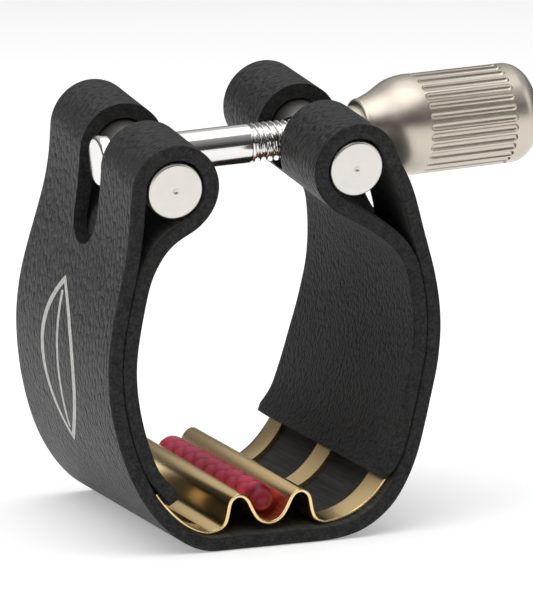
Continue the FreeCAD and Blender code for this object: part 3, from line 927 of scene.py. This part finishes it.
    def round_low_edges(self, block: bpy.types.Object) -> None:
        """Round the two lower long edges of the upper slot cutter."""
        select_only(block)
        bpy.ops.object.mode_set(mode="EDIT")
        bpy.ops.mesh.select_all(action="DESELECT")
        data = bmesh.from_edit_mesh(block.data)
        bottom = min(vert.co.z for vert in data.verts)
        for edge in data.edges:
            first, second = edge.verts
            along = abs(first.co.x - second.co.x) > 1.0
            edge.select_set(along and first.co.z < bottom + 0.01 and second.co.z < bottom + 0.01)
        bpy.ops.mesh.bevel(offset=self.slot_half * 0.9, segments=8, affect="EDGES")
        bpy.ops.object.mode_set(mode="OBJECT")

    def build(self, materials: Sequence[bpy.types.Material]) -> bpy.types.Object:
        """Make this half and dress it.

        Args:
            materials: grain, lining grain, cut edge and ribbed inner face.

        Returns:
            The finished piece.
        """
        rows = self.stations()
        turned = rows[-1][0] - (self.join - self.flex + self.lining_overlap) - self.lining_turn

        def half(distance: float, height: float) -> float:
            """Half of the width here, with a little unevenness of the cut."""
            waver = 0.05 * noise.noise(Vector((distance * 0.35, self.bulge, 0.0)))
            corner = max(0.0, 1.1 - (rows[-1][0] - distance))
            return STRAP.half_width(height) - 0.12 + waver - 0.35 * corner ** 2

        def slot_of(distance: float, kind: int) -> int:
            """Material index of a face."""
            if kind == 1:
                return 2
            if kind == 2:
                return 3
            return 1 if distance > turned else 0

        name = "strap_half_" + self.side.name.lower()
        piece = Strip(name, self.thickness, 0.22, 30, half).build(rows, slot_of)
        settle(piece, Matrix.Identity(4))
        dress(piece, *materials)
        for cutter in self.cutters(materials[2]):
            cut(piece, cutter)
        if self.side is Side.RIGHT:
            self.relieve(piece, materials[2])
        smooth(piece, 40)
        hinge = joint_place(self.body + "_flex")
        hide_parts(*self.nodes)
        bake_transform(piece)
        return piece

    def relieve(self, piece: bpy.types.Object, edge: bpy.types.Material) -> None:
        """Round clearance through the loop for the thumb nut's neck."""
        cutter = rod("neck_relief", self.relief_radius, self.relief_length)
        middle = self.relief_start + self.relief_length / 2
        centre = STRAP.screw_origin + STRAP.screw_axis * middle
        cutter.data.transform(STRAP.turned_frame(centre, STRAP.screw_axis, STRAP.pin_axis))
        dress(cutter, edge)
        cut(piece, cutter)


# ---------------------------------------------------------------- plate and cord

@dataclass
class ContactPlate:
    """Spring brass plate: double rail, webs and three fingers a side."""

    thickness: float = 0.35
    depth: float = 26.5
    seat: float = 1.33
    rail_spacing: float = 5.9
    rail_height: float = 3.35
    rail_centre: float = 0.75
    rail_half: tuple[Point, ...] = ((0.0, 0.14), (0.31, 0.23), (0.56, 0.50), (0.72, 0.80), (0.84, 0.96),
                                    (1.0, 1.02), (1.16, 0.94), (1.26, 0.70), (1.32, 0.42),
                                    (1.48, 0.14), (1.78, 0.02))
    web_left: float = 5.75
    web_right: float = 5.3
    finger_width: float = 3.1
    finger_spread: float = 26.5
    end_gap: float = 0.65
    corner: float = 0.9

    def wing(self, half: StrapHalf) -> list[tuple[Point, Point]]:
        """Paired points of one side, from the rail's foot to the finger tips."""
        edge = abs(self.rail_centre - half.side.value * self.rail_spacing)
        start = half.outer.distance_at(lambda places: abs(places[:, 0]), edge)
        end = half.flex - self.end_gap
        return [(half.inside(at, self.seat), half.inside(at, self.seat + self.thickness))
                for at in np.linspace(start, end, int((end - start) / 0.22))]

    def stations(self, left: StrapHalf, right: StrapHalf) -> list[tuple[float, Point, Point]]:
        """Paired points from the left finger tips over the rails to the right ones."""
        half = self.rail_spacing / 2
        bend = [(fx * half, fz * self.rail_height) for fx, fz in self.rail_half]
        shape = [(-x, z) for x, z in bend[:0:-1]] + bend
        rail = SmoothLine([(self.rail_centre + x, self.seat + z) for x, z in shape])
        pairs = self.wing(left)[::-1]
        pairs += [(rail.at(at), rail.at(at, self.thickness))
                  for at in np.linspace(0, rail.length, int(rail.length / 0.2))]
        pairs += self.wing(right)
        return [(0.2 * index, low, high) for index, (low, high) in enumerate(pairs)]

    def window(self, side: int, row: float, wide: float) -> bpy.types.Object:
        """Cutter of one gap between fingers, with round inner corners."""
        deselect()
        long, tall = 14.0, 10.0
        bpy.ops.mesh.primitive_cube_add(size=1.0)
        block = bpy.context.object
        block.scale = (long, wide, tall)
        inner = self.rail_centre + (self.web_right if side > 0 else -self.web_left)
        block.location = (inner + side * long / 2, row, tall / 2 - 0.5)
        bpy.ops.object.transform_apply(location=True, scale=True)
        bpy.ops.object.mode_set(mode="EDIT")
        data = bmesh.from_edit_mesh(block.data)
        for edge in data.edges:
            first, second = edge.verts
            upright = abs(first.co.z - second.co.z) > 1.0
            edge.select_set(upright and abs(first.co.x - inner) < 0.01)
        data.select_flush_mode()
        bpy.ops.mesh.bevel(offset=self.corner, segments=8, affect="EDGES")
        bpy.ops.object.mode_set(mode="OBJECT")
        block.data.transform(Matrix.Scale(MM, 4))
        return block

    def build(self, left: StrapHalf, right: StrapHalf, gold: bpy.types.Material) -> bpy.types.Object:
        """Make the plate and dress it."""
        strip = Strip("spring_plate", self.thickness, 0.09, 2, lambda distance, height: self.depth / 2)
        piece = strip.build(self.stations(left, right), lambda distance, kind: 0)
        settle(piece, Matrix.Identity(4))
        dress(piece, gold)
        pitch = (self.finger_spread - self.finger_width) / 2
        for side in (-1, 1):
            for row in (-0.5, 0.5):
                cutter = self.window(side, row * pitch, pitch - self.finger_width)
                dress(cutter, gold)
                cut(piece, cutter)
        smooth(piece, 30)
        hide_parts("contact_plate")
        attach(piece, "cradle")
        return piece


@dataclass
class ContactCord:
    """Plaited cord lying between the rails, sealed at its front end."""

    radius: float = 1.35
    lump: float = 0.36
    pitch: float = 2.6
    around: int = 4
    sealed_length: float = 1.7

    def build(self, finish: bpy.types.Material) -> bpy.types.Object:
        """Make the cord: staggered lumps that lean over each other, and domed ends."""
        low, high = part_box("contact_cord")
        length = (high[1] - low[1]) / MM
        core = self.radius - self.lump
        levels = [float(level) for level in np.linspace(0.012, length - 0.012, 340)]

        def swelling(angle: float, level: float) -> float:
            """Height of the strand here, from 0 in a hollow to 1 on a crown."""
            turn = angle / math.tau * self.around
            best = 0.0
            for column in (math.floor(turn), math.floor(turn) + 1):
                shift = 0.5 * (column % 2)
                row = level / self.pitch - shift
                near = row - round(row)
                across = turn - column
                lean = near + 0.22 * across * (1 if column % 2 else -1)
                reach = (lean / 0.56) ** 2 + (across / 0.80) ** 2
                best = max(best, 1 - reach)
            return math.sqrt(max(best, 0.0))

        def shape(angle: float, level: float) -> float:
            """Radius of the cord, falling to its domed ends."""
            end = min(level, length - level)
            dome = math.sqrt(max(0.0, 1 - max(0.0, 1 - end / (0.75 * self.radius)) ** 2))
            fade = min(1.0, max(0.0, (level - 0.5 * self.sealed_length) / self.sealed_length))
            wavy = 0.03 * noise.noise(Vector((math.cos(angle) * 2, math.sin(angle) * 2, level * 1.3)))
            lump = self.lump * (fade * swelling(angle, level) + (1 - fade) * 0.55)
            return (core + lump + wavy * fade) * dome

        piece = formed_tube("plaited_cord", 84, levels, shape)
        seal = piece.data.attributes.new("seal", "FLOAT", "POINT")
        lump = piece.data.attributes.new("lump", "FLOAT", "POINT")
        for vert in piece.data.vertices:
            level = vert.co.z
            seal.data[vert.index].value = 1 - min(1.0, max(0.0, (level - 1.1) / 1.0))
            # The lump value also sets the cord's painted shade in the hollows and painted highlight on the
            # crowns.
            lump.data[vert.index].value = swelling(math.atan2(vert.co.y, vert.co.x) % math.tau, level)
        centre = (Vector(low) + Vector(high)) / 2
        rise = STRAP.lean(centre.z / MM - self.radius / 2)
        along = Matrix.Rotation(rise - math.pi / 2, 4, "X")
        middle = Matrix.Translation((0, 0, -length / 2))
        settle(piece, Matrix.Translation(centre) @ Matrix.Scale(MM, 4) @ along @ middle)
        dress(piece, finish)
        smooth(piece, 60)
        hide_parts("contact_cord")
        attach(piece, "cradle")
        return piece


# ---------------------------------------------------------------- turned metal

@dataclass
class CrossPin:
    """Turned pin in a loop, bored across for the screw."""

    name: str
    joint: str
    body: str
    bore: float
    radius: float = 2.5
    half_length: float = 10.95
    edge: float = 0.28
    dimple: float = 0.27

    def build(self, finish: Callable[[Vector, Vector], bpy.types.Material]) -> bpy.types.Object:
        """Make the pin: spun profile, centre dimples and the cross bore."""
        half, dimple = self.half_length, self.dimple
        profile = [(0.0, dimple - half), (dimple, -half), (self.radius, -half),
                   (self.radius, half), (dimple, half), (0.0, half - dimple)]
        piece = spun(self.name + "_turned", profile, {2: self.edge, 3: self.edge})
        bore = rod("bore", self.bore, 4 * self.radius)
        bore.data.transform(Matrix.Translation((0, 0, STRAP.screw_offset))
                            @ Matrix.Rotation(math.pi / 2, 4, "Y"))
        centre = joint_place(self.joint)
        metal = finish(centre, STRAP.pin_axis)
        dress(piece, metal)
        dress(bore, metal)
        cut(piece, bore)
        across = STRAP.pin_axis.cross(STRAP.screw_axis).cross(STRAP.pin_axis).normalized()
        settle(piece, STRAP.turned_frame(centre, STRAP.pin_axis, across))
        smooth(piece, 32)
        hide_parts(self.name)
        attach(piece, self.body)
        return piece


@dataclass
class HeadedScrew:
    """Cross screw: button head, plain shank and helical thread."""

    radius: float = 1.8
    head_radius: float = 2.3
    head_height: float = 1.1
    seat: float = -2.5
    plain: float = 10.5
    tip: float = 29.0
    pitch: float = 0.6
    depth: float = 0.33

    def thread_radius(self, angle: float, level: float) -> float:
        """Radius of the threaded end at an angle and a height."""
        turn = (level / self.pitch - angle / math.tau) % 1.0
        crest = max(0.0, 1 - abs(turn - 0.5) / 0.40)
        ease = min(1.0, max(0.0, (level - self.plain) / 0.5), max(0.0, (self.tip - level) / 0.5))
        return self.radius - self.depth * ease * (1 - min(1.0, crest * 1.25))

    def build(self, origin: Vector, polished: bpy.types.Material) -> list[bpy.types.Object]:
        """Make the head with its plain shank, and the threaded end."""
        face = self.seat - self.head_height
        profile = [(0.0, face), (self.head_radius, face), (self.head_radius, self.seat),
                   (self.radius, self.seat), (self.radius, self.plain + 0.02), (0.0, self.plain + 0.02)]
        head = spun("screw_head_shank", profile, {1: 0.42, 2: 0.12})
        levels = [float(level) for level in np.linspace(self.plain, self.tip, 300)]
        thread = formed_tube("screw_thread", 60, levels, self.thread_radius)
        place = STRAP.turned_frame(origin, STRAP.screw_axis, STRAP.pin_axis)
        for piece in (head, thread):
            settle(piece, place)
            dress(piece, polished)
            smooth(piece, 40)
            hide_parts("headed_screw")
            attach(piece, "swivel")
        return [head, thread]


@dataclass
class ThumbNut:
    """Thumb nut: nose, neck, flare, fluted barrel and domed end."""

    face: float = 19.4
    nose_radius: float = 2.3
    nose_length: float = 1.9
    neck_radius: float = 2.9
    neck_end: float = 2.4
    grip_start: float = 6.9
    radius: float = 4.6
    length: float = 19.1
    dome: float = 2.3
    bore: float = 1.88
    bore_depth: float = 15.0
    flute_count: int = 30
    flute_radius: float = 0.42
    flute_depth: float = 0.3
    flute_length: float = 9.65
    end_margin: float = 2.15

    def profile(self) -> list[Point]:
        """(radius, height) corners from the bore's floor round to the outer tip."""
        swell, run = self.radius - self.neck_radius, self.grip_start - self.neck_end
        line = SmoothLine([(self.neck_radius, self.neck_end),
                           (self.neck_radius + 0.34 * swell, self.neck_end + 0.32 * run),
                           (self.neck_radius + 0.82 * swell, self.neck_end + 0.66 * run),
                           (self.radius, self.grip_start)])
        flare = [line.at(share * line.length) for share in np.linspace(0, 1, 14)]
        start = self.length - self.dome
        cap = [(self.radius * math.cos(a) ** 0.62, start + self.dome * math.sin(a))
               for a in np.linspace(0, math.pi / 2, 16)]
        return ([(0.0, self.bore_depth + 0.9), (self.bore, self.bore_depth), (self.bore, 0.0),
                 (self.nose_radius, 0.0), (self.nose_radius, self.nose_length),
                 (self.neck_radius, self.nose_length)] + flare + cap[:-1] + [(0.0, self.length)])

    def flute_cutters(self) -> bpy.types.Object:
        """Thirty round-ended rods round the barrel, joined in one cutter."""
        reach = self.radius + self.flute_radius - self.flute_depth
        low = self.length - self.end_margin - self.flute_length
        long = self.flute_length - 0.9
        deselect()
        bpy.ops.mesh.primitive_cylinder_add(vertices=16, radius=self.flute_radius, depth=long,
                                            location=(reach, 0, low + long / 2))
        first = bpy.context.object
        bpy.ops.object.transform_apply(location=True)
        bpy.ops.object.mode_set(mode="EDIT")
        data = bmesh.from_edit_mesh(first.data)
        for edge in data.edges:
            edge.select_set(edge.is_manifold and edge.calc_face_angle(0.0) > 1.2)
        bpy.ops.mesh.bevel(offset=self.flute_radius * 0.97, segments=5, affect="EDGES")
        bpy.ops.object.mode_set(mode="OBJECT")
        rods = [first]
        for index in range(1, self.flute_count):
            copy = first.copy()
            copy.data = first.data.copy()
            copy.data.transform(Matrix.Rotation(math.tau * index / self.flute_count, 4, "Z"))
            bpy.context.scene.collection.objects.link(copy)
            rods.append(copy)
        deselect()
        for item in rods:
            item.select_set(True)
        bpy.context.view_layer.objects.active = first
        bpy.ops.object.join()
        return first

    def build(self, origin: Vector, finish: bpy.types.Material) -> bpy.types.Object:
        """Make the nut: spun profile with its flutes cut in."""
        piece = spun("thumb_nut_turned", self.profile(), {3: 0.12, 5: 0.35}, 240)
        flutes = self.flute_cutters()
        dress(piece, finish)
        dress(flutes, finish)
        cut(piece, flutes)
        place = STRAP.turned_frame(origin + STRAP.screw_axis * self.face, STRAP.screw_axis, STRAP.pin_axis)
        settle(piece, place)
        smooth(piece, 28)
        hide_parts("thumb_nut")
        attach(piece, "nut")
        return piece


# ---------------------------------------------------------------- studio

@dataclass
class Studio:
    """Pale floor, soft lights and the camera."""

    focal: float = 184.4
    sensor: float = 36.0
    forward: Vector = field(default_factory=lambda: Vector((0.38022, 0.91300, -0.14785)).normalized())
    right: Vector = field(default_factory=lambda: Vector((0.92291, -0.38500, -0.00404)).normalized())
    stand: Vector = field(default_factory=lambda: Vector((-0.10280, -0.26127, 0.06140)))

    def camera(self) -> None:
        """Put the camera at its stand."""
        data = bpy.data.cameras.new("camera")
        data.sensor_width, data.lens = self.sensor, self.focal
        data.clip_start, data.clip_end = 0.01, 50.0
        camera = bpy.data.objects.new("camera", data)
        bpy.context.scene.collection.objects.link(camera)
        right = (self.right - self.forward * self.right.dot(self.forward)).normalized()
        up = right.cross(self.forward)
        turn = Matrix((right, up, -self.forward)).transposed().to_4x4()
        camera.matrix_world = Matrix.Translation(self.stand) @ turn
        bpy.context.scene.camera = camera

    def floor(self) -> None:
        """Lay the floor just under the strap."""
        deselect()
        bpy.ops.mesh.primitive_plane_add(size=30.0, location=(0, 0, -0.00004))
        plane = bpy.context.object
        plane.name = "floor"
        dress(plane, FloorFinish().build())

    def softbox(self, name: str, place: tuple[float, float, float], size: Point, power: float,
                target: tuple[float, float, float] = (0.004, -0.002, 0.022)) -> None:
        """Hang one area light that faces the object."""
        data = bpy.data.lights.new(name, "AREA")
        data.shape, data.size, data.size_y, data.energy = "RECTANGLE", size[0], size[1], power
        lamp = bpy.data.objects.new(name, data)
        bpy.context.scene.collection.objects.link(lamp)
        lamp.location = place
        lamp.rotation_mode = "QUATERNION"
        lamp.rotation_quaternion = (Vector(target) - Vector(place)).to_track_quat("-Z", "Y")

    def sky(self) -> None:
        """Surroundings for the metal to reflect: bright behind and above, dim in front and low down."""
        world = bpy.data.worlds.new("studio")
        world.use_nodes = True
        tree = world.node_tree
        tree.nodes.clear()
        where = tree.nodes.new("ShaderNodeTexCoord")
        split = tree.nodes.new("ShaderNodeSeparateXYZ")
        ramp = tree.nodes.new("ShaderNodeValToRGB")
        back = tree.nodes.new("ShaderNodeBackground")
        out = tree.nodes.new("ShaderNodeOutputWorld")
        stops = [(0.0, 0.26), (0.05, 0.07), (0.30, 0.09), (0.55, 0.32), (1.0, 0.45)]
        while len(ramp.color_ramp.elements) < len(stops):
            ramp.color_ramp.elements.new(0.5)
        for stop, (position, level) in zip(ramp.color_ramp.elements, stops):
            stop.position, stop.color = position, (level, level, level, 1)
        tree.links.new(where.outputs["Generated"], split.inputs[0])
        tree.links.new(split.outputs[2], ramp.inputs[0])
        facing = tree.nodes.new("ShaderNodeVectorMath")
        facing.operation = "DOT_PRODUCT"
        facing.inputs[1].default_value = (0.38, 0.91, 0.0)
        tree.links.new(where.outputs["Generated"], facing.inputs[0])
        share = tree.nodes.new("ShaderNodeMapRange")
        for socket, value in zip(share.inputs[1:5], (-1.0, 1.0, 0.35, 1.9)):
            socket.default_value = value
        tree.links.new(facing.outputs["Value"], share.inputs[0])
        level = tree.nodes.new("ShaderNodeMath")
        level.operation = "MULTIPLY"
        tree.links.new(ramp.outputs[0], level.inputs[0])
        tree.links.new(share.outputs[0], level.inputs[1])
        tree.links.new(level.outputs[0], back.inputs[0])
        tree.links.new(back.outputs[0], out.inputs[0])
        back.inputs[1].default_value = 1.0
        bpy.context.scene.world = world

    def build(self) -> None:
        """Set the whole studio up."""
        self.camera()
        self.floor()
        self.sky()
        for name, place, size, power in (("top", (-0.05, -0.02, 0.75), (0.9, 0.9), 2.2),
                                         ("left", (-0.75, -0.30, 0.35), (0.5, 0.8), 1.7),
                                         ("right", (0.70, -0.45, 0.40), (0.4, 0.7), 0.9)):
            self.softbox("softbox_" + name, place, size, power)
        sun = bpy.data.lights.new("day", "SUN")
        sun.energy, sun.angle = 0.7, math.radians(60)
        lamp = bpy.data.objects.new("day", sun)
        lamp.rotation_euler = (math.radians(18), math.radians(-14), 0)
        bpy.context.scene.collection.objects.link(lamp)
        bpy.context.scene.view_settings.view_transform = "Standard"


# ---------------------------------------------------------------- the whole ligature

def main() -> None:
    """Build every sub-assembly in the order it is put together."""
    logging.basicConfig(level=logging.INFO, format="%(message)s")
    left_pin, right_pin = joint_place("swivel_pin_turn"), joint_place("thrust_pin_turn")
    screw_origin = STRAP.screw_origin

    outer = GrainFinish("black_grain").build()
    marked = GrainFinish("black_grain_printed", mark=True).build()
    lining = GrainFinish("black_lining_grain", pebble=2.8, stretch=1.2, wrinkle=0.25, gloss=0.50).build()
    edge, flesh = CutEdgeFinish().build(), FleshFinish().build()
    gold = MetalFinish("pale_gold", (0.98, 0.76, 0.40), (0.90, 0.63, 0.28), 0.18, (2600, 90, 2600)).build()
    polished = MetalFinish("polished_nickel", (0.86, 0.84, 0.81), (0.74, 0.72, 0.70), 0.08,
                           (900, 900, 900), spread=0.06, relief=0.15).build()
    satin = MetalFinish("satin_nickel", (0.66, 0.60, 0.52), (0.50, 0.45, 0.38), 0.26,
                        (1800, 1800, 1800), relief=0.3).build()

    left = StrapHalf(Side.LEFT, "left_arm", ("strap_base", "strap_arm_left", "lining_left"), 14.3, left_pin,
                     ((0.643, 0.068), (0.804, 0.163), (0.965, 0.367), (1.0, 0.533), (0.951, 0.689),
                      (0.889, 0.822), (0.868, 0.91)), 180.0, -225.0, lining_overlap=2.3)
    right = StrapHalf(Side.RIGHT, "right_arm", ("strap_base", "strap_arm_right", "lining_right"), 17.15,
                      right_pin, ((0.515, 0.018), (0.684, 0.074), (0.807, 0.162), (0.930, 0.352),
                                  (1.0, 0.554), (0.959, 0.736), (0.883, 0.855), (0.800, 0.96)), 25.0, 200.0)

    def pin_finish(centre: Vector, axis: Vector) -> bpy.types.Material:
        """Lathe-marked nickel round one pin."""
        return TurnedFinish("turned_nickel", (0.78, 0.75, 0.70), centre, axis).build()

    made = [left.build((marked, lining, edge, flesh)), right.build((outer, lining, edge, flesh))]
    made.append(ContactPlate().build(left, right, gold))
    made.append(ContactCord().build(CordFinish().build()))
    made.append(CrossPin("swivel_pin", "swivel_pin_turn", "swivel", 1.82).build(pin_finish))
    made.append(CrossPin("thrust_pin", "thrust_pin_turn", "thrust", 1.95).build(pin_finish))
    made += HeadedScrew().build(screw_origin, polished)
    made.append(ThumbNut().build(screw_origin, satin))
    for piece in made:
        LOG.info("%-22s %6d faces", piece.name, len(piece.data.polygons))
    Studio().build()


if __name__ == "__main__":
    main()
